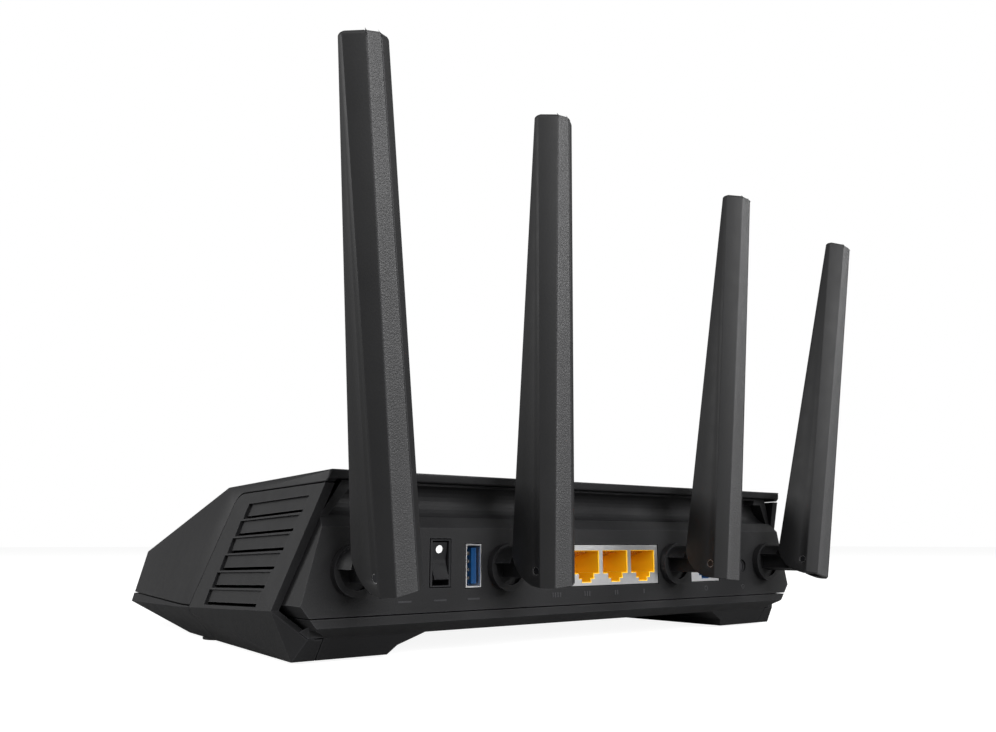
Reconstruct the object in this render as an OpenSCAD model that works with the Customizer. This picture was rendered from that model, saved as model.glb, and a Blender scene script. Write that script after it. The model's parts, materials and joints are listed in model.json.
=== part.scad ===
// Desktop wireless router with four folding blade antennas.
// Rear panel faces +Y, the nose faces -Y, +Z is up. The origin is on the table,
// under the middle of the whole object's box.

/* [Body] */
// Width across the top edges
top_w = 208; // [196:1:250]
// How far the waist stands out beyond the top edge on each side
waist_out = 9.5; // [8:0.1:11]
// How far the bottom edge stands out beyond the top edge on each side
foot_out = 4; // [3:0.1:5]
// Length from the rear panel's face to the nose
body_d = 174; // [160:1:210]
// Height of the body above the table
body_h = 53.5; // [50:0.5:64]
// Wall thickness of the housing
wall = 2.4; // [2:0.1:3]
// Gap along the seams between housing pieces
seam = 0.35; // [0.2:0.05:0.6]
// Length of the level part of the top
top_l = 68; // [55:1:80]
// Height of the upper nose edge
nose_z = 29.6; // [26:0.2:33]
// Height of the rubber pads below the housing
pad_h = 0.8; // [0.5:0.1:1.5]

/* [Rear panel] */
// Height of the waist and of the widest point of the rear panel
waist_z = 14.6; // [13:0.2:16]
// Height of the seam between rear panel and bottom case
seam_z = 12.8; // [11.5:0.1:13.4]
// Height where the sloped ledge above the ports starts
ledge_z = 37.6; // [36:0.2:40]
// Height of the body's underside between the runners
belly_z = 7; // [6:0.2:8]

/* [Antennas] */
// Distance from the centre plane to the outer antennas
outer_x = 94.7; // [92:0.1:99]
// Distance from the centre plane to the inner antennas
inner_x = 39.8; // [39:0.1:40.5]
// Height of the swivel axes
pivot_z = 25.6; // [24:0.2:28]
// Length of a blade above its hinge pin
blade_l = 136.4; // [110:0.1:164]
// Distance from the panel's face to the hinge pins
hinge_y = 22.7; // [21:0.1:27.3]
// Diameter of the hinge pins
pin_d = 2.5; // [2:0.1:3]
// Diameter of the swivel barrels
barrel_d = 14.6; // [13.6:0.1:15.4]
// Sideways splay of the outer antennas at rest, in degrees
splay_outer = 13.1; // [6:0.1:20]
// Sideways splay of the inner antennas at rest, in degrees
splay_inner = 4.6; // [0:0.1:8]
// Backwards lean of antenna 1 at rest, in degrees
lean_1 = 11.8; // [0:0.1:15]
// Backwards lean of antenna 2 at rest, in degrees
lean_2 = 6.1; // [0:0.1:15]
// Backwards lean of antenna 3 at rest, in degrees
lean_3 = 2.3; // [0:0.1:15]
// Backwards lean of antenna 4 at rest, in degrees
lean_4 = 0.6; // [0:0.1:15]

/* [Sockets] */
// Centre of the four-port socket block
lan_x = -2.8; // [-3:0.1:-2]
// Distance between neighbouring network ports
port_pitch = 13.97; // [13.8:0.01:14.1]
// Centre of the single network socket
wan_x = -58.2; // [-59:0.1:-57.6]
// Centre of the upright USB socket
usb_x = 52.4; // [52:0.1:53]
// Centre of the rocker switch
switch_x = 64.9; // [64.4:0.1:65.4]
// Centre of the power inlet
inlet_x = 77.4; // [76.8:0.1:78]
// Centre of the reset button
reset_x = -80.6; // [-81.5:0.1:-78]
// Height of the socket block's shield
port_h = 13.5; // [13.3:0.1:13.9]
// Clearance between a socket and its cut-out in the panel
port_gap = 0.3; // [0.2:0.05:0.5]
// Travel of the reset button
reset_travel = 0.8; // [0.5:0.1:1.2]
// Swing of the rocker between its two positions, in degrees
rocker_swing = 14; // [10:1:16]

/* [Board] */
// Height of the main board's top face
board_z = 18.9; // [18.6:0.1:19.2]
// Thickness of the main board
board_t = 1.6; // [1.2:0.1:2]
// Diameter of the case and board screws
screw_d = 3; // [2.6:0.1:3.4]

/* [Hidden] */
$fn = 48;

// Colours
c_case = [0.11, 0.11, 0.12];
c_blade = [0.15, 0.15, 0.16];
c_rubber = [0.05, 0.05, 0.05];
c_silver = [0.78, 0.79, 0.80];
c_yellow = [0.95, 0.66, 0.08];
c_blue = [0.05, 0.28, 0.62];
c_gold = [0.86, 0.68, 0.30];
c_board = [0.05, 0.25, 0.14];
c_chip = [0.07, 0.07, 0.08];
c_white = [0.92, 0.92, 0.92];
c_grey = [0.55, 0.56, 0.58];
c_lens = [0.60, 0.62, 0.65];

eps = 0.01;
big = 400;

// Side view of the body, measured from the rear panel's face
lip_y = 2.5;            // rear edge of the top
top_fall = 2;           // the top drops this much from rear to front
waist_y = -12;          // waist of the wing's rear edge
foot_y = -9.3;          // rear edge of the runners
lower_y = -4.8;         // rear edge of the belly, where the runners' ends are widest
strip_z = 10.2;         // lower edge of the upright strip below the ports
nose_low_z = 9.3;       // lower nose edge
nose_back = 4;          // upper nose edge lies this far behind the lower one
runner_l = 112;         // front end of the runners
side_low_y = -86;       // lower front corner of the side walls
side_low_z = 12;
rim = 2.8;              // frame of the top cover round a side panel
rim_front = 9.5;
corner_r = 7;           // rounded upper front corner of a side panel

// Half widths
half_top = top_w / 2;
half_waist = half_top + waist_out;
half_foot = half_top + foot_out;
nose_high_half = half_top - 7;
nose_low_half = half_top - 3;
runner_front_half = half_foot - 9.5;
runner_w = 29.2;
runner_in = half_foot - runner_w;
lower_half = half_foot - 2.4;

// Antennas
pivots = [[outer_x, splay_outer, lean_1], [inner_x, splay_inner, lean_2],
    [-inner_x, -splay_inner, lean_3], [-outer_x, -splay_outer, lean_4]];
rear_y = 4.8;           // rear face of a blade, behind its pin
blade_low = 4.8;        // blade below the hinge pin
blade_wall = 1.5;
tip_t = 0.7;            // height of the small chamfer round the tip
cover_t = 1.6;
tongue_w = 5;
tongue_r = 2.8;         // half height of the tongue
drum_y = hinge_y - 12.5;  // rear end of the half drum
cheek_gap = 0.35;
barrel_y = 0.4;         // gap between panel and barrel flange
flange_t = 2.2;
neck_d = 10;
neck_l = 9.4;
bush_l = 3.4;
clip_t = 0.8;
clip_play = 0.35;
fit = 0.05;             // radial running clearance

panel_t = 2.4;          // thickness of the rear panel
clip_y = -panel_t - bush_l - 0.3;   // front face of the spring clips

// Where the rear panel's face lies in the object's own frame
tip_reach = hinge_y + (blade_l - tip_t) * sin(lean_1) + rear_y * cos(lean_1);
panel_y = (body_d - tip_reach) / 2;

module at_panel() translate([0, panel_y, 0]) children();

// ---------- Helpers ----------

function arc(centre, r, a0, a1, n) =
    [for (k = [0:n]) centre + r * [cos(a0 + (a1 - a0) * k / n), sin(a0 + (a1 - a0) * k / n)]];

// Half width of the body at height z, and the wing's rear edge there
function side_x(z) = z >= waist_z
    ? half_top + (half_waist - half_top) * (body_h - z) / (body_h - waist_z)
    : half_foot + (half_waist - half_foot) * z / waist_z;
function inner_side_x(z) = side_x(z) - wall - 0.6;
function wing_y(z) = lip_y + (waist_y - lip_y) * (body_h - z) / (body_h - waist_z);

// Extrudes a (y, z) outline along X, from x0 to x1
module along_x(x0, x1) translate([x0, 0, 0]) rotate([90, 0, 90])
    linear_extrude(height = x1 - x0) children();

// Extrudes an (x, z) outline along Y, from y0 to y1
module along_y(y0, y1) translate([0, y1, 0]) rotate([90, 0, 0])
    linear_extrude(height = y1 - y0) children();

module both_sides() {
    children();
    mirror([1, 0, 0]) children();
}

// Box given by its two corners
module box(a, b) translate(a) cube(b - a);

// Corners of one half of the body, moved inwards by i
function body_corners(i) = [
    [side_x(body_h) - i, lip_y, body_h - i],
    [side_x(body_h - top_fall) - i, -top_l, body_h - top_fall - i],
    [nose_high_half - i, -body_d + nose_back + i, nose_z - i],
    [nose_low_half - i, -body_d + i, nose_low_z + i],
    [side_x(side_low_z) - i, side_low_y, side_low_z],
    [half_waist - i, waist_y, waist_z],
    [lower_half - i, lower_y, belly_z],
    [half_foot - i, foot_y, pad_h + i],
    [runner_front_half - i, -runner_l, pad_h + i]];

module body_form(i) hull() both_sides() for (p = body_corners(i)) translate(p) cube(eps, center = true);

// Outline of a side panel in side view, grown by g along its seams
function side_outline(g) = let (
        z_top = body_h - top_fall - rim + g,
        y_top = -top_l + rim_front - g,
        z_low = side_low_z,
        y_low = side_low_y + rim_front - g)
    concat(
        [[wing_y(z_top + 1) + 4 * g, z_top + 1]],
        arc([y_top + corner_r * 0.75, z_top - corner_r], corner_r, 90, 155, 6),
        [[y_low, z_low], [y_low - 1, -1 - g]],
        [[foot_y + g, -1 - g], [lower_y + g, belly_z], [waist_y + g, waist_z]]);

module side_region(g) along_x(half_top - wall - 0.6 - g, half_waist + 5) polygon(side_outline(g));

// Everything behind the wings' rear edge
module behind_wings() along_x(-big, big) polygon([
    [wing_y(body_h - rim), body_h - rim], [waist_y, waist_z], [lower_y, belly_z], [foot_y, pad_h],
    [foot_y, -5], [40, -5], [40, body_h - rim]]);

// Rear panel outline seen from behind, made smaller by i; it stays inside the side panels
function panel_outline(i) = let (
        z_top = body_h - wall - seam,
        half = [
            [inner_side_x(z_top) - 3 - i, z_top - i],
            [inner_side_x(ledge_top) - i, ledge_top],
            [inner_side_x(waist_z) - i, waist_z + 1.6],
            [inner_side_x(belly_z) - 2.6 - i, belly_z + 2.6 + i / 2],
            [inner_side_x(belly_z) - 8 - i, belly_z + i]])
    concat(half, [for (k = [4:-1:0]) [-half[k][0], half[k][1]]]);

// ---------- Housing ----------

module top_cover() color(c_case) at_panel() difference() {
    body_form(0);
    body_form(wall);
    box([-big, -big, -big], [big, big, seam_z + seam / 2]);
    both_sides() side_region(seam);
    behind_wings();
    box([-half_top + 6, -body_d, nose_low_z - 2], [half_top - 6, -body_d + 2, nose_low_z]);
    status_lens_form(port_gap / 2);
}

module slat_row(depth) for (k = [0:5]) {
    z = body_h - 8.2 - 5.35 * k;
    y0 = -46.8 - 2.9 * k;
    along_x(half_top - 20, side_x(z - 2) + 5) polygon([
        [y0 - 0.6, z - depth], [y0 + 40 - depth * 2, z + 1.2 - depth],
        [y0 + 38.6, z - 2.6], [y0 - 1.9, z - 3.9]]);
}

module side_panel() difference() {
    intersection() {
        body_form(0);
        side_region(0);
    }
    body_form(wall);
    // louvres: a shallow pocket for each slat, with an open slot along its foot
    difference() {
        slat_row(0);
        body_form(0.9);
    }
    for (k = [0:5]) {
        z = body_h - 8.2 - 5.35 * k;
        y0 = -46.8 - 2.9 * k;
        along_x(half_top - 20, half_waist + 5) polygon([
            [y0 - 1.9, z - 3.9], [y0 + 38.6, z - 2.6], [y0 + 38.4, z - 3.5], [y0 - 2.1, z - 4.8]]);
    }
}

module side_panel_left() color(c_case) at_panel() side_panel();

module side_panel_right() color(c_case) at_panel() mirror([1, 0, 0]) side_panel();

panel_depth = 17;
recess_y = -6.5;
ledge_top = ledge_z + 3.2;

// Side view of the rear panel: port wall, sloped ledge and hollow above it
function panel_section() = concat(
    [[0, seam_z + seam / 2], [0, ledge_z], [-3, ledge_top]],
    arc([-1.2, ledge_top + 5.2], 5.5, 236, 128, 8),
    [[-1, body_h - wall - seam - 0.6], [-1, body_h - wall - seam],
     [-6, body_h - wall - seam]],
    arc([-3.2, ledge_top + 5.2], 6.1, 140, 236, 8),
    [[-panel_t, ledge_z - 0.8], [-panel_t, seam_z + seam / 2]]);

module port_cutouts() {
    g = port_gap;
    box([lan_x - lan_w / 2 - g, -5, board_z - g], [lan_x + lan_w / 2 + g, 5, board_z + port_h + g]);
    box([wan_x - wan_w / 2 - g, -5, board_z - g], [wan_x + wan_w / 2 + g, 5, board_z + port_h + g]);
    box([usb_x - usb_w / 2 - g, -5, usb_z - g], [usb_x + usb_w / 2 + g, 5, usb_z + usb_h + g]);
    box([switch_x - switch_w / 2 - g, -5, switch_z - switch_h / 2 - g],
        [switch_x + switch_w / 2 + g, 5, switch_z + switch_h / 2 + g]);
    translate([inlet_x, 5, inlet_z]) rotate([90, 0, 0]) cylinder(d = inlet_d + 2 * g, h = 10);
    translate([reset_x, 5, reset_z]) rotate([90, 0, 0]) cylinder(d = reset_d + 2 * fit, h = 12);
    translate([reset_x, 5, reset_z]) rotate([90, 0, 0]) cylinder(d = reset_d + 1.4, h = 5.8);
}

module rear_panel() color(c_case) at_panel() {
    difference() {
        union() {
            intersection() {
                along_x(-big, big) polygon(panel_section());
                along_y(-30, 10) polygon(panel_outline(0));
            }
            // side walls that run forward behind the wings
            intersection() {
                difference() {
                    along_y(-panel_depth, 0) polygon(panel_outline(0));
                    along_y(-panel_depth - 1, 1) polygon(panel_outline(wall));
                }
                union() {
                    box([half_top - 12, -big, seam_z + seam / 2], [half_waist, big, body_h]);
                    box([-half_waist, -big, seam_z + seam / 2], [-half_top + 12, big, body_h]);
                }
                along_x(-big, big) polygon([[-panel_depth, seam_z], [0, seam_z], [0, ledge_z],
                    [-3, ledge_top], [-1.5, body_h - 6], [-1, body_h - wall - seam],
                    [-panel_depth, body_h - wall - seam - 0.6]]);
            }
            // bushes that guide the antenna barrels
            for (p = pivots) translate([p[0], -panel_t + eps, pivot_z]) rotate([90, 0, 0])
                cylinder(d = neck_d + 3.2, h = bush_l);
        }
        port_cutouts();
        for (p = pivots) translate([p[0], 5, pivot_z]) rotate([90, 0, 0])
            cylinder(d = neck_d + 2 * fit, h = 20);
    }
}

// Hollow between the runners seen from behind, made larger by g
module channel_outline(g) polygon([
    [-runner_in - g, -1], [-runner_in + 3.8 - g, belly_z / 2], [-runner_in + 12 - g, belly_z + g],
    [runner_in - 12 + g, belly_z + g], [runner_in - 3.8 + g, belly_z / 2], [runner_in + g, -1]]);

standoffs = [[60, -30], [-60, -30], [58, -117], [-58, -117], [2, -66]];
case_screw_places = [[58, -14], [-58, -14], [58, -138], [-58, -138]];

module bottom_case() color(c_case) at_panel() difference() {
    union() {
        // outer skin below the seam
        difference() {
            body_form(0);
            body_form(wall);
            box([-big, -big, seam_z - seam / 2], [big, big, big]);
            behind_wings();
            both_sides() side_region(seam);
        }
        // belly plate and inner walls of the runners
        intersection() {
            body_form(0);
            difference() {
                along_y(-body_d + 1, lower_y - 1) channel_outline(wall);
                along_y(-body_d - 1, 1) channel_outline(0);
            }
        }
        // rear wall: upright strip, undercut below it and sloping ends of the runners
        difference() {
            intersection() {
                along_x(-half_foot, half_foot) polygon([
                    [0, seam_z - seam / 2], [0, strip_z], [lower_y, belly_z], [foot_y, pad_h],
                    [foot_y - 2 * wall, pad_h], [lower_y - 2 * wall, belly_z],
                    [-wall, strip_z + 1.6], [-wall, seam_z - seam / 2]]);
                union() {
                    along_y(-panel_depth, 0) polygon(panel_outline(0));
                    body_form(0);
                }
            }
            both_sides() side_region(seam);
        }
        // wall and shelf of the gap between the wings and the rear wall
        difference() {
            intersection() {
                body_form(0);
                along_x(-half_waist, half_waist) polygon([
                    [waist_y, seam_z], [waist_y, belly_z], [lower_y, belly_z],
                    [lower_y - wall, belly_z - wall], [waist_y - wall, belly_z - wall],
                    [waist_y - wall, seam_z]]);
            }
            both_sides() side_region(seam);
            along_y(-panel_depth, 1) polygon(panel_outline(0.1));
        }
        // ends of the strip
        intersection() {
            difference() {
                along_y(-panel_depth, 0) polygon(panel_outline(0));
                along_y(-panel_depth - 1, 1) polygon(panel_outline(wall));
            }
            along_x(-big, big) polygon([[-panel_depth, seam_z - seam / 2], [0, seam_z - seam / 2],
                [0, strip_z], [lower_y, belly_z], [-panel_depth, belly_z]]);
        }
        for (p = standoffs) translate([p[0], p[1], belly_z])
            cylinder(d = 6.5, h = board_z - board_t - belly_z);
        for (p = case_screw_places) translate([p[0], p[1], belly_z]) cylinder(d = 8, h = 6);
    }
    along_y(-body_d - 5, 5) channel_outline(0);
    // everything behind the rear wall
    along_x(-big, big) polygon([[0, 60], [0, strip_z], [lower_y, belly_z], [foot_y, pad_h],
        [foot_y, -5], [40, -5], [40, 60]]);
    for (p = standoffs) translate([p[0], p[1], board_z - board_t - 6]) cylinder(d = screw_d, h = 20);
    for (p = case_screw_places) translate([p[0], p[1], 0]) {
        cylinder(d = screw_d + 2 * fit, h = 20);
        cylinder(d = 2 * screw_d, h = belly_z + 2);
    }
    // cooling slots through the belly
    for (k = [-5:5], y = [-58, -98])
        box([k * 9 - 1.5, y - 14, -1], [k * 9 + 1.5, y + 14, belly_z + wall + 1]);
    rating_label_form(0.1);
}

module rating_label_form(g) box([-32 - g, -40 - g, belly_z - 1], [32 + g, -18 + g, belly_z + 0.5 + g]);

module rating_label() color(c_grey) at_panel() intersection() {
    rating_label_form(0);
    box([-big, -big, belly_z + 0.1], [big, big, 20]);
}

module rubber_feet() color(c_rubber) at_panel() both_sides() for (y = [-26, -92])
    translate([half_foot - 0.5 * runner_w + 1, y, 0]) cylinder(d = 13, h = pad_h - eps);

module status_lens_form(g) box([-30 - g, -body_d + 20 - g, nose_z - wall], [30 + g, -body_d + 23 + g, 60]);

module status_lens() color(c_lens) at_panel() intersection() {
    status_lens_form(0);
    difference() {
        body_form(0.1);
        body_form(wall + 1);
    }
}

// ---------- Main board ----------

board_half = 98;
board_y0 = -3;
board_y1 = -126;

module main_board() color(c_board) at_panel() difference() {
    board_plate();
    for (p = standoffs) translate([p[0], p[1], 0]) cylinder(d = screw_d + 2 * fit, h = 30);
}

module board_plate() translate([0, 0, board_z - board_t]) linear_extrude(height = board_t) polygon([
    [-board_half, board_y0 - 16], [-board_half + 8, board_y0], [board_half - 8, board_y0],
    [board_half, board_y0 - 16], [board_half - 4, board_y1 + 12], [board_half - 14, board_y1],
    [-board_half + 14, board_y1], [-board_half + 4, board_y1 + 12]]);

module board_screws() color(c_silver) at_panel() for (p = standoffs) translate([p[0], p[1], board_z]) {
    difference() {
        cylinder(d = 2 * screw_d, h = 1.8);
        translate([0, 0, 0.9]) cylinder(d = 2.2, h = 2, $fn = 6);
    }
    translate([0, 0, -6]) cylinder(d = screw_d, h = 6.5);
}

module case_screws() color(c_silver) at_panel() for (p = case_screw_places) translate([p[0], p[1], belly_z])
    difference() {
        union() {
            translate([0, 0, 0.2]) cylinder(d = 2 * screw_d - 0.4, h = 1.8);
            cylinder(d = screw_d, h = 9);
        }
        translate([0, 0, -eps]) cylinder(d = 1.8, h = 1.2, $fn = 6);
    }

chips = [[-14, -62, 17], [28, -92, 12], [-48, -90, 12], [36, -60, 10], [72, -104, 9]];
cans = [[-52, -88, 40, 34], [34, -90, 44, 30]];
can_h = 3.2;

module processor_chips() color(c_chip) at_panel() for (c = chips)
    box([c[0] - c[2] / 2, c[1] - c[2] / 2, board_z], [c[0] + c[2] / 2, c[1] + c[2] / 2, board_z + 1.2]);

module rf_shield_cans() color(c_silver) at_panel() for (c = cans) difference() {
    box([c[0] - c[2] / 2, c[1] - c[3] / 2, board_z], [c[0] + c[2] / 2, c[1] + c[3] / 2, board_z + can_h]);
    box([c[0] - c[2] / 2 + 0.4, c[1] - c[3] / 2 + 0.4, board_z - 1],
        [c[0] + c[2] / 2 - 0.4, c[1] + c[3] / 2 - 0.4, board_z + can_h - 0.4]);
    for (x = [-8, 0, 8]) translate([c[0] + x, c[1], board_z]) cylinder(d = 2, h = 10);
}

pad_t = 1;
module thermal_pads() color(c_grey) at_panel() {
    c = chips[0];
    box([c[0] - 8, c[1] - 8, board_z + 1.2], [c[0] + 8, c[1] + 8, board_z + can_h]);
    for (c = cans)
        box([c[0] - 14, c[1] - 10, board_z + can_h], [c[0] + 14, c[1] + 10, board_z + can_h + pad_t]);
}

module heatsink() color(c_grey) at_panel() {
    z0 = board_z + can_h + pad_t;
    box([-74, -106, z0], [58, -74, z0 + 1.6]);
    box([-26, -74, z0], [-2, -50, z0 + 1.6]);
    box([-22, -70, board_z + can_h], [-6, -54, z0]);
    for (k = [0:21]) box([-74 + k * 6.22, -104, z0 + 1.6], [-72.8 + k * 6.22, -76, z0 + 8]);
}

module capacitors() color(c_grey) at_panel()
    for (p = [[84, -40], [84, -50], [72, -42], [-70, -60], [-82, -60]])
    translate([p[0], p[1], board_z]) cylinder(d = 7, h = 8.5);

module inductors() color(c_chip) at_panel() for (p = [[70, -56], [60, -44], [-62, -44]])
    box([p[0] - 3.5, p[1] - 3.5, board_z], [p[0] + 3.5, p[1] + 3.5, board_z + 4]);

module lan_magnetics() color(c_chip) at_panel() for (x = [-24, -8, 8, 24])
    box([lan_x + x - 5, -37, board_z], [lan_x + x + 5, -27, board_z + 5]);

// ---------- Network sockets ----------

shield_t = 0.5;
plate_t = 0.3;          // front plate of the shields
port_w = 11.8;
shield_d = 21;
lan_w = 4 * port_pitch + 1.4;
wan_w = 15.9;
insert_w = port_pitch - 1.4;
face_y = -0.2;

module socket_shield(centre, width, ports) difference() {
    box([centre - width / 2, face_y - shield_d, board_z], [centre + width / 2, face_y, board_z + port_h]);
    for (x = ports) {
        box([x - insert_w / 2, face_y - shield_d + shield_t, board_z + shield_t],
            [x + insert_w / 2, face_y - plate_t, board_z + port_h - shield_t]);
        along_y(face_y - 1, face_y + 1) socket_outline(x, 0.25);
    }
}

// Plastic body of one socket, with the opening for plug and latch
module socket_insert(x) {
    z0 = board_z + shield_t;
    z1 = board_z + port_h - shield_t;
    difference() {
        box([x - insert_w / 2, face_y - shield_d + shield_t, z0], [x + insert_w / 2, face_y - plate_t, z1]);
        along_y(face_y - 15, face_y + 1) socket_outline(x, 0);
        box([x - 4.6, face_y - 14, z1 - 1.3], [x + 4.6, face_y - 2, z1 - 0.6]);
    }
}

// Opening for the plug, with the stepped notch for its latch, made larger by g
module socket_outline(x, g) {
    z0 = board_z + shield_t;
    half = [[port_w / 2 + g, z0 + 11 + g], [port_w / 2 + g, z0 + 3.6 - g], [3.4 + g, z0 + 3.6 - g],
        [3.4 + g, z0 + 1.9 - g], [2 + g, z0 + 1.9 - g], [2 + g, z0 + 0.7 - g]];
    polygon(concat([for (p = half) [x + p[0], p[1]]], [for (k = [5:-1:0]) [x - half[k][0], half[k][1]]]));
}

// Eight spring wires under the roof of a socket
module socket_contacts(x) for (k = [-3.5:3.5])
    translate([x + k * 1.02, face_y - 3.5, board_z + port_h - shield_t - 1.75]) rotate([14, 0, 0])
        translate([-0.2, -9.5, -0.35]) cube([0.4, 9.5, 0.35]);

function lan_place(k) = lan_x + (2.5 - k) * port_pitch;

module lan_shield() color(c_silver) at_panel()
    socket_shield(lan_x, lan_w, [for (k = [1:4]) lan_place(k)]);
module lan_insert_1() color(c_yellow) at_panel() socket_insert(lan_place(4));
module lan_insert_2() color(c_yellow) at_panel() socket_insert(lan_place(3));
module lan_insert_3() color(c_yellow) at_panel() socket_insert(lan_place(2));
module lan_insert_4() color(c_yellow) at_panel() socket_insert(lan_place(1));
module lan_contacts() color(c_gold) at_panel() for (k = [1:4]) socket_contacts(lan_place(k));
module wan_shield() color(c_silver) at_panel() socket_shield(wan_x, wan_w, [wan_x]);
module wan_insert() color(c_blue) at_panel() socket_insert(wan_x);
module wan_contacts() color(c_gold) at_panel() socket_contacts(wan_x);

// ---------- USB socket ----------

usb_w = 5.9;
usb_h = 13.1;
usb_d = 14;
usb_t = 0.4;
usb_z = board_z + 0.8;

module usb_shell() color(c_silver) at_panel() difference() {
    box([usb_x - usb_w / 2, face_y - usb_d, usb_z], [usb_x + usb_w / 2, face_y + 0.15, usb_z + usb_h]);
    box([usb_x - usb_w / 2 + usb_t, face_y - usb_d + usb_t, usb_z + usb_t],
        [usb_x + usb_w / 2 - usb_t, face_y + 1, usb_z + usb_h - usb_t]);
}

module usb_tongue() color(c_blue) at_panel() {
    z0 = usb_z + usb_t;
    z1 = usb_z + usb_h - usb_t;
    box([usb_x - usb_w / 2 + usb_t, face_y - usb_d + usb_t, z0],
        [usb_x + usb_w / 2 - usb_t, face_y - 10, z1]);
    box([usb_x - 2, face_y - 10, z0 + 0.7], [usb_x - 0.1, face_y - 1.2, z1 - 0.7]);
}

module usb_contacts() color(c_gold) at_panel() for (k = [-1.5:1.5])
    translate([usb_x - 0.1, face_y - 9.5, usb_z + usb_h / 2 + k * 2.5 - 0.5]) cube([0.25, 7, 1]);

// ---------- Power inlet, switch and reset button ----------

inlet_z = 26.4;
inlet_d = 9;
inlet_bore = 6.3;

module inlet_body() color(c_chip) at_panel() difference() {
    union() {
        box([inlet_x - 5, -15, board_z], [inlet_x + 5, -3, inlet_z + 5.2]);
        translate([inlet_x, face_y, inlet_z]) rotate([90, 0, 0]) cylinder(d = inlet_d, h = 6);
    }
    translate([inlet_x, 1, inlet_z]) rotate([90, 0, 0]) cylinder(d = inlet_bore, h = 11);
}

module inlet_pin() color(c_silver) at_panel() {
    translate([inlet_x, -2.2, inlet_z]) rotate([90, 0, 0]) cylinder(d = 2, h = 7.8);
    translate([inlet_x, -1.7, inlet_z]) sphere(d = 2);
}

switch_w = 7.4;
switch_h = 14;
switch_z = 27.2;
rocker_w = 5.4;
rocker_h = 12;
rocker_pivot = -5.2;    // pivot line of the rocker, from the panel's face
rocker_r = 4.6;

module switch_frame() color(c_chip) at_panel() difference() {
    union() {
        box([switch_x - switch_w / 2, -13, switch_z - switch_h / 2],
            [switch_x + switch_w / 2, 0.1, switch_z + switch_h / 2]);
        box([switch_x - 3, -12, board_z], [switch_x + 3, -4, switch_z]);
    }
    box([switch_x - rocker_w / 2 - 0.3, -11, switch_z - rocker_h / 2 - 0.6],
        [switch_x + rocker_w / 2 + 0.3, 1, switch_z + rocker_h / 2 + 0.6]);
    for (s = [-1, 1]) translate([switch_x + s * (rocker_w / 2 + 0.3), rocker_pivot, switch_z])
        rotate([0, 90, 0]) cylinder(d = 2 + 2 * fit, h = 1.2, center = true);
}

// Rocker: two flat wings that meet in a shallow V, upper wing pressed in
module switch_rocker() color(c_case) at_panel() translate([switch_x, rocker_pivot, switch_z])
    rotate([rocker_swing / 2, 0, 0]) difference() {
        union() {
            along_x(-rocker_w / 2, rocker_w / 2) polygon([
                [-2.4, 1.5], [-1, rocker_h / 2 - 0.3], [rocker_r - 0.6 + wing_rise, rocker_h / 2 - 0.5],
                [rocker_r - 0.6, 0.6], [rocker_r - 0.6, -0.6], [rocker_r - 0.6 + wing_rise, -rocker_h / 2 + 0.5],
                [-1, -rocker_h / 2 + 0.3], [-2.4, -1.5]]);
            rotate([0, 90, 0]) cylinder(d = 2, h = rocker_w + 1.2, center = true);
        }
        dot_form();
    }

dot_d = 2.4;
dot_z = 3.5;
wing_rise = 1.5;
wing_lean = atan2(wing_rise, rocker_h / 2 - 1.1);
module dot_form() translate([0, rocker_r - 0.6 + (dot_z - 0.6) * tan(wing_lean), dot_z])
    rotate([-90 - wing_lean, 0, 0]) translate([0, 0, -0.5]) cylinder(d = dot_d, h = 1);

module rocker_dot() color(c_white) at_panel() translate([switch_x, rocker_pivot, switch_z])
    rotate([rocker_swing / 2, 0, 0]) intersection() {
        dot_form();
        along_x(-dot_d, dot_d) polygon([[0, dot_z + 2], [rocker_r - 0.6 + wing_rise, rocker_h / 2 - 0.5],
            [rocker_r - 0.6, 0.6], [0, 0.6]]);
    }

reset_z = 24.2;
reset_d = 3.6;

module reset_button() color(c_grey) at_panel() translate([reset_x, -1.1, reset_z]) rotate([90, 0, 0]) {
    cylinder(d = reset_d, h = 5);
    translate([0, 0, 2.4]) cylinder(d = reset_d + 1.4, h = 1);
}

module reset_switch() color(c_chip) at_panel() difference() {
    box([reset_x - 3, -12, board_z], [reset_x + 3, -1.1 - 5 - reset_travel - 0.1, reset_z + 2.6]);
    translate([reset_x, -1.1 - 5 - reset_travel + 0.1, reset_z]) rotate([90, 0, 0]) cylinder(d = 2, h = 1);
}

// ---------- Antennas ----------

module at_pivot(n) at_panel() translate([pivots[n - 1][0], 0, pivot_z])
    rotate([0, pivots[n - 1][1], 0]) children();

module at_hinge(n) at_pivot(n) translate([0, hinge_y, 0]) rotate([-pivots[n - 1][2], 0, 0]) children();

module pin_hole(d) rotate([0, 90, 0]) cylinder(d = d, h = 40, center = true);

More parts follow.
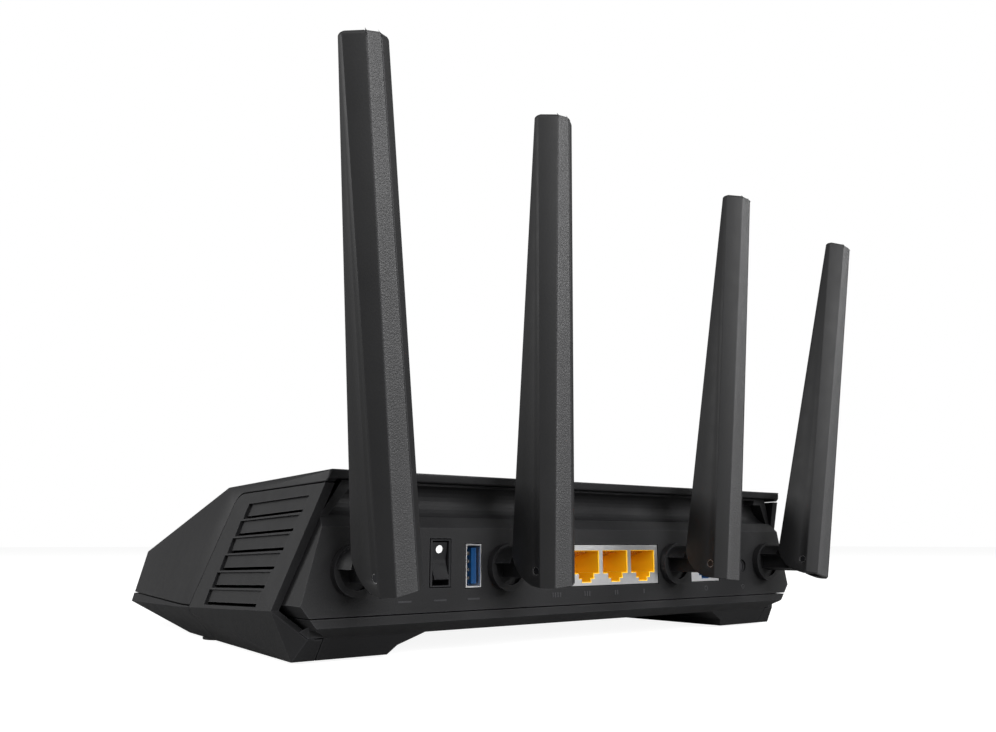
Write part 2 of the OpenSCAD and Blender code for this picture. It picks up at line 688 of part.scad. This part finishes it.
// Swivel barrel: neck in the panel, ringed flange, half drum and the tongue in the blade
module barrel(n) color(c_case) at_pivot(n) difference() {
    union() {
        difference() {
            translate([0, barrel_y + flange_t, 0]) rotate([90, 0, 0]) cylinder(d = barrel_d, h = flange_t);
            translate([0, barrel_y + flange_t + 1, 0]) rotate([90, 0, 0]) cylinder(d = barrel_d - 3.6, h = 2.2);
        }
        translate([0, barrel_y, 0]) rotate([90, 0, 0]) difference() {
            cylinder(d = neck_d, h = neck_l);
            // groove for the spring clip
            translate([0, 0, barrel_y - clip_y - clip_play]) difference() {
                cylinder(d = neck_d + 1, h = clip_t + 2 * clip_play);
                translate([0, 0, -1]) cylinder(d = neck_d - 1.6, h = 4);
            }
        }
        box([-tongue_w / 2, barrel_y, -tongue_r], [tongue_w / 2, hinge_y, tongue_r]);
        translate([0, hinge_y, 0]) rotate([0, 90, 0]) cylinder(r = tongue_r, h = tongue_w, center = true);
        // half drum between the flange and the blade
        intersection() {
            translate([0, drum_y, 0]) rotate([90, 0, 0]) cylinder(d = barrel_d - 1.6, h = drum_y - barrel_y);
            box([-20, 0, tongue_r - 0.9], [20, 60, 20]);
        }
    }
    translate([0, hinge_y, 0]) pin_hole(pin_d + 2 * fit);
    // bore for the coax lead
    translate([0, barrel_y + 4, 0]) rotate([90, 0, 0]) cylinder(d = 3.2, h = 20);
}

module hinge_pin(n) color(c_grey) at_hinge(n) rotate([0, 90, 0])
    cylinder(d = pin_d, h = 2 * base_half - 0.5, center = true);

// Section of the blade: [half width, depth behind the pin] of its rear edge, crease and front
base_half = 6.95;
tip_half = 6.8;
rear_base_half = 3.6;
rear_tip_half = 2.25;
front_base_y = -11.8;
front_tip_y = -1;
base_section = [[rear_base_half, rear_y], [base_half, rear_y - 2.75], [base_half, front_base_y]];
tip_section = [[rear_tip_half, rear_y], [tip_half, rear_y - 3.74], [tip_half, front_tip_y]];
function front_y(z) = front_base_y + (front_tip_y - front_base_y) * (z + blade_low) / (blade_l + blade_low);

// Six-sided ring from one half of a section, at height z and made smaller by i
function ring(half, z, i) = concat(
    [[half[0][0] - 0.6 * i, half[0][1] - i, z], [half[1][0] - i, half[1][1], z],
     [half[2][0] - i, half[2][1] + i, z]],
    [[-half[2][0] + i, half[2][1] + i, z], [-half[1][0] + i, half[1][1], z],
     [-half[0][0] + 0.6 * i, half[0][1] - i, z]]);

// Blade from its base to the small chamfer round the tip
module blade_form() {
    rings = [ring(base_section, -blade_low, 0), ring(tip_section, blade_l - tip_t, 0),
        ring(tip_section, blade_l, 0.5)];
    polyhedron(
        points = [for (r = rings) each r],
        faces = concat(
            [[for (k = [5:-1:0]) k]],
            [for (r = [0:1], k = [0:5])
                [6 * r + k, 6 * r + (k + 1) % 6, 6 * r + 6 + (k + 1) % 6, 6 * r + 6 + k]],
            [[for (k = [0:5]) 12 + k]]));
}

base_r = 12;            // radius of the lower front corner
cavity_z = 10;

// Hollow for the radiating board: narrow behind the cover, wide in front of it
module cavity() intersection() {
    union() {
        along_y(rear_y - 5, rear_y) polygon(cavity_outline(rear_base_half - 0.6, rear_tip_half - 0.6));
        along_y(-20, rear_y - 4.5) polygon(cavity_outline(base_half - 1.9, tip_half - 1.9));
    }
    along_x(-20, 20) polygon([[front_y(cavity_z) + blade_wall, cavity_z], [rear_y, cavity_z],
        [rear_y, blade_l - 2], [front_y(blade_l) + blade_wall, blade_l - 2]]);
}

function cavity_outline(low, high) =
    [[-low, cavity_z], [low, cavity_z], [high, blade_l - 2], [-high, blade_l - 2]];

// Rear strip of the blade that the grained cover takes up, up to the edges of the rear face
module cover_space(g) along_y(rear_y - cover_t - g, rear_y + 5) polygon([
    [-rear_base_half - g + 0.25, -blade_low - 1], [rear_base_half + g - 0.25, -blade_low - 1],
    [rear_tip_half + g - 0.25, blade_l + 1], [-rear_tip_half - g + 0.25, blade_l + 1]]);

module blade_shell(n) color(c_blade) at_hinge(n) difference() {
    intersection() {
        blade_form();
        // side view with the rounded lower front corner
        along_x(-20, 20) polygon(concat(
            [[20, -blade_low - 1], [20, blade_l + 5], [front_base_y, blade_l + 5]],
            arc([front_base_y + base_r, base_r - blade_low], base_r, 180, 270, 12), [[0.4, -blade_low - 1]]));
    }
    cavity();
    cover_space(0);
    // fork slot for the barrel's tongue, closed at the rear by the cover
    box([-tongue_w / 2 - cheek_gap, -20, -20], [tongue_w / 2 + cheek_gap, 20, tongue_r + 1.4]);
    rotate([0, 90, 0]) cylinder(d = pin_d, h = 40, center = true);
}

module blade_cover(n) color(c_blade) at_hinge(n) intersection() {
    blade_form();
    cover_space(-0.02);
}

// Radiating board inside the blade
module element(n) color(c_board) at_hinge(n)
    box([-1.6, rear_y - cover_t - 3.6, cavity_z], [-0.8, rear_y - cover_t - 0.6, blade_l - 20]);

module barrel_1() barrel(1);
module barrel_2() barrel(2);
module barrel_3() barrel(3);
module barrel_4() barrel(4);
module hinge_pin_1() hinge_pin(1);
module hinge_pin_2() hinge_pin(2);
module hinge_pin_3() hinge_pin(3);
module hinge_pin_4() hinge_pin(4);
module blade_shell_1() blade_shell(1);
module blade_shell_2() blade_shell(2);
module blade_shell_3() blade_shell(3);
module blade_shell_4() blade_shell(4);
module blade_cover_1() blade_cover(1);
module blade_cover_2() blade_cover(2);
module blade_cover_3() blade_cover(3);
module blade_cover_4() blade_cover(4);
module element_1() element(1);
module element_2() element(2);
module element_3() element(3);
module element_4() element(4);

// Spring clips that hold the barrels in their bushes
module swivel_clips() color(c_silver) at_panel() for (p = pivots)
    translate([p[0], clip_y, pivot_z]) rotate([90, 0, 0]) difference() {
        cylinder(d = neck_d + 3, h = clip_t);
        translate([0, 0, -1]) cylinder(d = neck_d - 0.9, h = 4);
        box([-3, -20, -1], [3, 0, 4]);
    }

// Coax leads from the barrels' bores back over the board and down to their plugs
lead_d = 1.3;
lead_start = barrel_y - neck_l - 1;
lead_y = -45;
plug_h = 2.2;
module coax_leads() color(c_chip) at_panel() for (p = pivots) {
    translate([p[0], lead_start, pivot_z]) rotate([90, 0, 0]) cylinder(d = lead_d, h = lead_start - lead_y);
    translate([p[0], lead_y, pivot_z]) sphere(d = lead_d);
    translate([p[0], lead_y, board_z + plug_h]) cylinder(d = lead_d, h = pivot_z - board_z - plug_h);
}

module coax_plugs() color(c_gold) at_panel() for (p = pivots) translate([p[0], lead_y, board_z])
    cylinder(d = 3, h = plug_h);

top_cover();
side_panel_left();
side_panel_right();
rear_panel();
bottom_case();
rubber_feet();
rating_label();
status_lens();
main_board();
board_screws();
case_screws();
processor_chips();
rf_shield_cans();
thermal_pads();
heatsink();
capacitors();
inductors();
lan_magnetics();
lan_shield();
lan_insert_1();
lan_insert_2();
lan_insert_3();
lan_insert_4();
lan_contacts();
wan_shield();
wan_insert();
wan_contacts();
usb_shell();
usb_tongue();
usb_contacts();
inlet_body();
inlet_pin();
switch_frame();
switch_rocker();
rocker_dot();
reset_button();
reset_switch();
coax_leads();
coax_plugs();
swivel_clips();
barrel_1();
hinge_pin_1();
blade_shell_1();
blade_cover_1();
element_1();
barrel_2();
hinge_pin_2();
blade_shell_2();
blade_cover_2();
element_2();
barrel_3();
hinge_pin_3();
blade_shell_3();
blade_cover_3();
element_3();
barrel_4();
hinge_pin_4();
blade_shell_4();
blade_cover_4();
element_4();
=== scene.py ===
import json
import math

import bpy
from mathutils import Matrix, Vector

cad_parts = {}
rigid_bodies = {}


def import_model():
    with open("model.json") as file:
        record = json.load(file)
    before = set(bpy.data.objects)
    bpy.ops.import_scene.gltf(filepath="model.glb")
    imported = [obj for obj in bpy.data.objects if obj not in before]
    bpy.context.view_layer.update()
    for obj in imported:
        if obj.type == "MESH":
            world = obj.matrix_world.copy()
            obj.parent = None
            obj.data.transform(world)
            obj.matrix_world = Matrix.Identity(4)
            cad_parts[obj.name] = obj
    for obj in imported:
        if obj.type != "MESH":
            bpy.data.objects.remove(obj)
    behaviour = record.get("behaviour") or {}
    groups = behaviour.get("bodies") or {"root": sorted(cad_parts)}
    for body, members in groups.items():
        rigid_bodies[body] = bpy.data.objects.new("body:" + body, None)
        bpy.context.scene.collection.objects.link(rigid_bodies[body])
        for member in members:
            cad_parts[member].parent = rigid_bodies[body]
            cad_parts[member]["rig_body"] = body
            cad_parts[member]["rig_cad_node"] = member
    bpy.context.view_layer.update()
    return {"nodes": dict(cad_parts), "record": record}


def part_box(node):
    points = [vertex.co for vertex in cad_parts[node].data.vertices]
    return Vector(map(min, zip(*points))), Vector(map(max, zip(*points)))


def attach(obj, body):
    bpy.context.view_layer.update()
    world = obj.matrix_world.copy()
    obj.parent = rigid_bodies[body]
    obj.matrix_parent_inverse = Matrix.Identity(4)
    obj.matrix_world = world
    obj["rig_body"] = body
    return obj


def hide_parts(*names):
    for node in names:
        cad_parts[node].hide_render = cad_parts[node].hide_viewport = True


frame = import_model()

MM = 0.001

# The rear panel's outer face, which the marks and the camera are placed from.
panel_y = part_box("rear_panel")[1][1]


# ---------- Materials ----------

def new_material(name, color, roughness, metallic=0.0, specular=0.4):
    """A Principled material that reads Object coordinates, and its useful nodes."""
    material = bpy.data.materials.new(name)
    material.use_nodes = True
    nodes = material.node_tree.nodes
    links = material.node_tree.links
    shader = nodes["Principled BSDF"]
    shader.inputs["Base Color"].default_value = (*color, 1.0)
    shader.inputs["Roughness"].default_value = roughness
    shader.inputs["Metallic"].default_value = metallic
    shader.inputs["Specular IOR Level"].default_value = specular
    place = nodes.new("ShaderNodeTexCoord")
    return material, nodes, links, shader, place.outputs["Object"]


def noise(nodes, links, place, scale, detail=3.0, stretch=(1, 1, 1)):
    """Noise of a given scale per metre, which may be stretched into streaks."""
    mapping = nodes.new("ShaderNodeMapping")
    mapping.inputs["Scale"].default_value = stretch
    links.new(place, mapping.inputs["Vector"])
    texture = nodes.new("ShaderNodeTexNoise")
    texture.inputs["Scale"].default_value = scale
    texture.inputs["Detail"].default_value = detail
    links.new(mapping.outputs["Vector"], texture.inputs["Vector"])
    return texture.outputs["Fac"]


def ramp(nodes, links, factor, low, high, start=0.35, end=0.65):
    """Turns a factor into a range of greys or colours."""
    band = nodes.new("ShaderNodeValToRGB")
    band.color_ramp.elements[0].position = start
    band.color_ramp.elements[1].position = end
    for stop, shade in zip(band.color_ramp.elements, (low, high)):
        stop.color = (*shade, 1.0) if isinstance(shade, tuple) else (shade, shade, shade, 1.0)
    links.new(factor, band.inputs["Fac"])
    return band.outputs["Color"]


def edge_mask(nodes, links, radius=0.0005):
    """1 on sharp edges and 0 on open faces, from how far a rounded normal turns there."""
    rounded = nodes.new("ShaderNodeBevel")
    rounded.samples = 4
    rounded.inputs["Radius"].default_value = radius
    true = nodes.new("ShaderNodeNewGeometry")
    dot = nodes.new("ShaderNodeVectorMath")
    dot.operation = "DOT_PRODUCT"
    links.new(rounded.outputs["Normal"], dot.inputs[0])
    links.new(true.outputs["True Normal"], dot.inputs[1])
    return ramp(nodes, links, dot.outputs["Value"], 1.0, 0.0, 0.90, 0.995)


def blend_colors(nodes, links, factor, first, second):
    """Mixes two colour outputs by a factor."""
    mix = nodes.new("ShaderNodeMix")
    mix.data_type = "RGBA"
    links.new(factor, mix.inputs["Factor"])
    links.new(first, mix.inputs["A"])
    if isinstance(second, tuple):
        mix.inputs["B"].default_value = (*second, 1.0)
    else:
        links.new(second, mix.inputs["B"])
    return mix.outputs["Result"]


def bump(nodes, links, shader, height, strength, distance):
    """Adds a bump of a given depth in metres."""
    relief = nodes.new("ShaderNodeBump")
    relief.inputs["Strength"].default_value = strength
    relief.inputs["Distance"].default_value = distance
    links.new(height, relief.inputs["Height"])
    links.new(relief.outputs["Normal"], shader.inputs["Normal"])


def moulded_plastic(name, color, roughness, grain, depth, specular=0.4, edge_wear_and_highlight=1.7):
    """Injection-moulded plastic: grain, slightly uneven tone and gloss, and edges painted lighter, partly
    as rubbed wear and partly as a painted highlight.

    The grain is in cells per metre and its depth in metres; the last argument is how much lighter an edge
    is painted, for wear and as a painted highlight.
    """
    material, nodes, links, shader, place = new_material(name, color, roughness, specular=specular)
    darker = tuple(c * 0.93 for c in color)
    lighter = tuple(c * 1.07 for c in color)
    tone = ramp(nodes, links, noise(nodes, links, place, 45, 4), darker, lighter)
    edges = edge_mask(nodes, links)
    # Edges are painted lighter, partly as rubbed wear and partly as a painted highlight on the rounded
    # rims.
    rubbed_and_highlit_edge = tuple(min(1.0, c * edge_wear_and_highlight) for c in color)
    links.new(blend_colors(nodes, links, edges, tone, rubbed_and_highlit_edge), shader.inputs["Base Color"])
    gloss = ramp(nodes, links, noise(nodes, links, place, 180), roughness - 0.02, roughness + 0.03)
    smooth = roughness - 0.12
    links.new(blend_colors(nodes, links, edges, gloss, (smooth, smooth, smooth)),
              shader.inputs["Roughness"])
    bump(nodes, links, shader, noise(nodes, links, place, grain, 2), 0.5, depth)
    return material


def metal(name, color, roughness, stretch=(1, 1, 1)):
    """Plated or anodised metal with faint brushing, and edges painted near white, partly as wear and
    partly as a painted highlight.
    """
    material, nodes, links, shader, place = new_material(name, color, roughness, metallic=1.0)
    streaks = noise(nodes, links, place, 900, 3, stretch)
    dull = tuple(c * 0.93 for c in color)
    tone = ramp(nodes, links, noise(nodes, links, place, 240), dull, color)
    # Edges are painted near white, partly as wear and partly as a painted highlight.
    links.new(blend_colors(nodes, links, edge_mask(nodes, links, 0.0003), tone, (0.95, 0.95, 0.95)),
              shader.inputs["Base Color"])
    links.new(ramp(nodes, links, streaks, roughness - 0.04, roughness + 0.06), shader.inputs["Roughness"])
    bump(nodes, links, shader, streaks, 0.1, 0.00001)
    return material


# The last figure of some finishes is how much lighter their edges are painted, as wear and as a painted
# highlight.
FINISHES = {
    "case_plastic": moulded_plastic("case plastic", (0.0085, 0.0085, 0.0092),
                                    0.58, 1900, 0.00012, 0.24, edge_wear_and_highlight=2.4),
    "blade_plastic": moulded_plastic("satin blade plastic", (0.0105, 0.0105, 0.011),
                                     0.56, 1500, 0.00005, 0.24, edge_wear_and_highlight=2.2),
    "blade_grain": moulded_plastic("grained blade plastic", (0.034, 0.034, 0.035),
                                   0.55, 2300, 0.00060, 0.42),
    "rubber": moulded_plastic("pad rubber", (0.012, 0.012, 0.012), 0.8, 1200, 0.0001, 0.2),
    "label": moulded_plastic("label film", (0.42, 0.42, 0.42), 0.4, 900, 0.00002),
    "lens": moulded_plastic("frosted lens", (0.30, 0.31, 0.33), 0.3, 900, 0.00002),
    "board": moulded_plastic("board mask", (0.008, 0.07, 0.03), 0.3, 600, 0.00005),
    "plated_steel": metal("plated steel", (0.90, 0.90, 0.91), 0.34, (1, 1, 12)),
    "dark_steel": metal("blackened steel", (0.05, 0.05, 0.055), 0.4),
    "chip_plastic": moulded_plastic("chip moulding", (0.012, 0.012, 0.013), 0.5, 1600, 0.00005),
    "pad_rubber": moulded_plastic("thermal pad", (0.30, 0.34, 0.42), 0.7, 900, 0.0001),
    "heatsink_aluminium": metal("anodised aluminium", (0.62, 0.63, 0.65), 0.42, (1, 20, 1)),
    "yellow_plastic": moulded_plastic("socket yellow", (0.84, 0.47, 0.008),
                                      0.34, 900, 0.00003, 0.5, edge_wear_and_highlight=1.0),
    "blue_plastic": moulded_plastic("socket blue", (0.002, 0.036, 0.115),
                                    0.34, 900, 0.00003, 0.5, edge_wear_and_highlight=1.3),
    "gold_contacts": metal("contact gold", (0.86, 0.60, 0.24), 0.25),
    "switch_plastic": moulded_plastic("switch black", (0.010, 0.010, 0.011), 0.30, 1500, 0.00002, 0.5),
    "white_paint": moulded_plastic("dot white", (0.85, 0.85, 0.85), 0.45, 1500, 0.00002, edge_wear_and_highlight=1.0),
    "button_plastic": moulded_plastic("button black", (0.02, 0.02, 0.022), 0.42, 1500, 0.00004),
    "lead_jacket": moulded_plastic("lead jacket", (0.012, 0.012, 0.012), 0.5, 1500, 0.00002),
}

SLOT_OF = {part["node"]: part["material_slot"] for part in frame["record"]["subparts"]}

for node, slot_name in SLOT_OF.items():
    mesh = frame["nodes"][node].data
    mesh.materials.clear()
    mesh.materials.append(FINISHES[slot_name])


# ---------- Skins: CAD parts with their sharp edges eased ----------

BODY_OF = {node: body
           for body, members in frame["record"]["behaviour"]["bodies"].items()
           for node in members}


def only(piece):
    """Makes a piece the only selected one, and the active one."""
    bpy.ops.object.select_all(action="DESELECT")
    piece.select_set(True)
    bpy.context.view_layer.objects.active = piece


def eased(node, width, segments=2, sharp=24):
    """A copy of a CAD part whose sharp edges get a small moulded radius, in its place."""
    only(frame["nodes"][node])
    bpy.ops.object.duplicate()
    piece = bpy.context.object
    piece.name = node + "_skin"
    piece.data.name = piece.name
    piece.parent = None
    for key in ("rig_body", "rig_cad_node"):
        del piece[key]
    bpy.ops.object.mode_set(mode="EDIT")
    bpy.ops.mesh.select_all(action="SELECT")
    bpy.ops.mesh.remove_doubles(threshold=0.000002)
    bpy.ops.mesh.dissolve_limited(angle_limit=math.radians(0.6))
    bpy.ops.object.mode_set(mode="OBJECT")
    ease = piece.modifiers.new("eased edges", "BEVEL")
    ease.width = width
    ease.segments = segments
    ease.limit_method = "ANGLE"
    ease.angle_limit = math.radians(sharp)
    ease.use_clamp_overlap = False
    bpy.ops.object.modifier_apply(modifier=ease.name)
    bpy.ops.object.shade_smooth_by_angle(angle=math.radians(34))
    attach(piece, BODY_OF[node])
    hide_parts(node)
    return piece


# Edge radii in millimetres.
EASED = {"top_cover": 0.4, "rubber_feet": 0.25}
for n in range(1, 5):
    EASED[f"blade_shell_{n}"] = 0.28
    EASED[f"blade_cover_{n}"] = 0.2

for node, width in EASED.items():
    eased(node, width * MM)


# ---------- Printed marks under the sockets ----------

INK = 0.12 * MM
MARK_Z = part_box("lan_shield")[0][2] - 2.6 * MM
TICK_W = 0.5 * MM
TICK_H = 1.5 * MM
TICK_PITCH = 1.1 * MM
BAR_W = 4.6 * MM
RING_R = 0.8 * MM


def middle(node):
    """Where a node's box has its middle, from side to side."""
    low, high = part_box(node)
    return (low[0] + high[0]) / 2


def printed_tick(x, z, width, height):
    """A thin round-cornered bar of ink on the rear panel's face."""
    bpy.ops.object.select_all(action="DESELECT")
    bpy.ops.mesh.primitive_cube_add(size=1, location=(x, panel_y + INK / 2, z),
                                    scale=(width, INK, height))
    bpy.ops.object.transform_apply(location=True, rotation=True, scale=True)
    tick = bpy.context.object
    bpy.ops.object.mode_set(mode="EDIT")
    bpy.ops.mesh.select_all(action="SELECT")
    bpy.ops.mesh.bevel(offset=INK * 0.4, segments=2, affect="EDGES")
    bpy.ops.object.mode_set(mode="OBJECT")
    return tick


def printed_ring(x, z, radius):
    """A thin flattened ring of ink, for the socket and the button that have no ticks."""
    bpy.ops.object.select_all(action="DESELECT")
    bpy.ops.mesh.primitive_torus_add(location=(x, panel_y + INK / 2, z),
                                     rotation=(math.pi / 2, 0, 0),
                                     major_radius=radius, minor_radius=INK,
                                     major_segments=24, minor_segments=6)
    bpy.ops.object.transform_apply(location=True, rotation=True, scale=True)
    ring = bpy.context.object
    bpy.ops.object.mode_set(mode="EDIT")
    bpy.ops.mesh.select_all(action="SELECT")
    bpy.ops.transform.resize(value=(1, 0.5, 1), center_override=(x, panel_y, z))
    bpy.ops.object.mode_set(mode="OBJECT")
    return ring


# The four network sockets carry as many ticks as their number.
marks = []
for k in range(1, 5):
    for j in range(k):
        x = middle(f"lan_insert_{k}") + (j - (k - 1) / 2) * TICK_PITCH
        marks.append(printed_tick(x, MARK_Z, TICK_W, TICK_H))
for node in ("inlet_body", "usb_shell", "switch_frame"):
    marks.append(printed_tick(middle(node), MARK_Z, BAR_W, TICK_W))
for node in ("wan_insert", "reset_button"):
    marks.append(printed_ring(middle(node), MARK_Z, RING_R))

bpy.ops.object.select_all(action="DESELECT")
for mark in marks:
    mark.select_set(True)
bpy.context.view_layer.objects.active = marks[0]
bpy.ops.object.join()
port_marks = bpy.context.object
port_marks.name = "port_marks"
port_marks.data.name = port_marks.name
port_marks.data.materials.clear()
port_marks.data.materials.append(FINISHES["button_plastic"])
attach(port_marks, "housing")


# ---------- Floor, light and camera ----------

def seen_directly(nodes, links, direct, indirect):
    """One strength for what the camera sees of the backdrop and another for the light it gives."""
    path = nodes.new("ShaderNodeLightPath")
    choice = nodes.new("ShaderNodeMix")
    links.new(path.outputs["Is Camera Ray"], choice.inputs["Factor"])
    choice.inputs["A"].default_value = indirect
    choice.inputs["B"].default_value = direct
    return choice.outputs["Result"]


def studio_floor():
    """A wide pale floor that runs into the white backdrop."""
    bpy.ops.object.select_all(action="DESELECT")
    bpy.ops.mesh.primitive_plane_add(size=14)
    floor = bpy.context.object
    floor.name = "studio_floor"
    material, nodes, links, shader, place = new_material("studio white", (0.32, 0.32, 0.32), 0.7,
                                                         specular=0.0)
    shader.inputs["Emission Color"].default_value = (1, 1, 1, 1)
    links.new(seen_directly(nodes, links, 0.9, 0.0), shader.inputs["Emission Strength"])
    floor.data.materials.append(material)


def softbox(name, place, target, size, power):
    """A square area light that looks at a target."""
    light = bpy.data.lights.new(name, "AREA")
    light.shape = "SQUARE"
    light.size = size
    light.energy = power
    lamp = bpy.data.objects.new(name, light)
    bpy.context.scene.collection.objects.link(lamp)
    lamp.location = place
    lamp.rotation_euler = (Vector(target) - Vector(place)).to_track_quat("-Z", "Y").to_euler()


def studio_light():
    """A white backdrop that gives little light, and four softboxes."""
    world = bpy.data.worlds.new("studio")
    bpy.context.scene.world = world
    world.use_nodes = True
    nodes = world.node_tree.nodes
    backdrop = nodes["Background"]
    backdrop.inputs["Color"].default_value = (1, 1, 1, 1)
    world.node_tree.links.new(seen_directly(nodes, world.node_tree.links, 1.0, 0.15),
                              backdrop.inputs["Strength"])
    bpy.context.scene.view_settings.view_transform = "Standard"
    softbox("key", (1.3, 0.8, 1.3), (0, 0, 0.06), 1.0, 15)
    softbox("rim", (-1.3, 0.9, 0.8), (0, 0, 0.06), 0.7, 13)
    softbox("fill", (0.1, 1.7, 0.7), (0, 0, 0.06), 1.0, 46)
    softbox("nose", (1.65, -1.0, 0.6), (0, 0, 0.04), 0.8, 25)


def camera():
    """Low behind the router, on the power inlet's side, looking slightly up."""
    data = bpy.data.cameras.new("camera")
    data.lens = 33.24
    data.sensor_width = 36
    view = bpy.data.objects.new("camera", data)
    bpy.context.scene.collection.objects.link(view)
    view.location = (0.2270, panel_y + 0.2328, 0.0333)
    view.rotation_euler = (math.radians(90 + 10.86), 0, math.radians(180 - 38.35))
    bpy.context.scene.camera = view


studio_floor()
studio_light()
camera()
